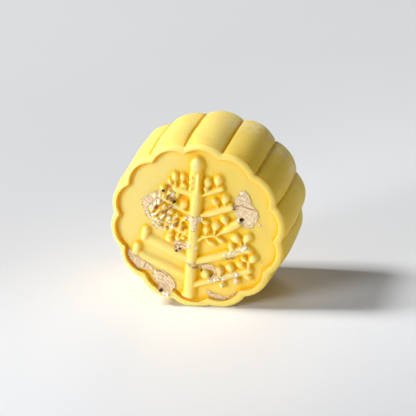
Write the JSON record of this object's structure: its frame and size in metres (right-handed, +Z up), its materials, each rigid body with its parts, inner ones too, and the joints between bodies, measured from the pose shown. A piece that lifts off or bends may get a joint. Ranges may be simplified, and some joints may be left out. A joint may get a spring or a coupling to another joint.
{
  "type": "mooncake",
  "caption": "Round fluted snow-skin mooncake standing on its edge, with a raised scalloped rim, a tree in relief on its sunken face and flakes of gold leaf.",
  "frame": {"origin": "on the table, under the middle of the mooncake's bounding box", "axes": "+Z up; the drum's axis lies along Y, with the stamped face looking along -Y; +X is to the right of a viewer who faces the stamped face"},
  "size_m": [0.0638, 0.035, 0.0618],
  "materials": {
    "snow_skin": "soft pale yellow glutinous-rice skin, satin, lightly floured",
    "gold_leaf": "thin crumpled edible gold leaf, pale and patchy"
  },
  "bodies": {
    "root": {"mooncake": "snow_skin"}
  },
  "joints": []
}
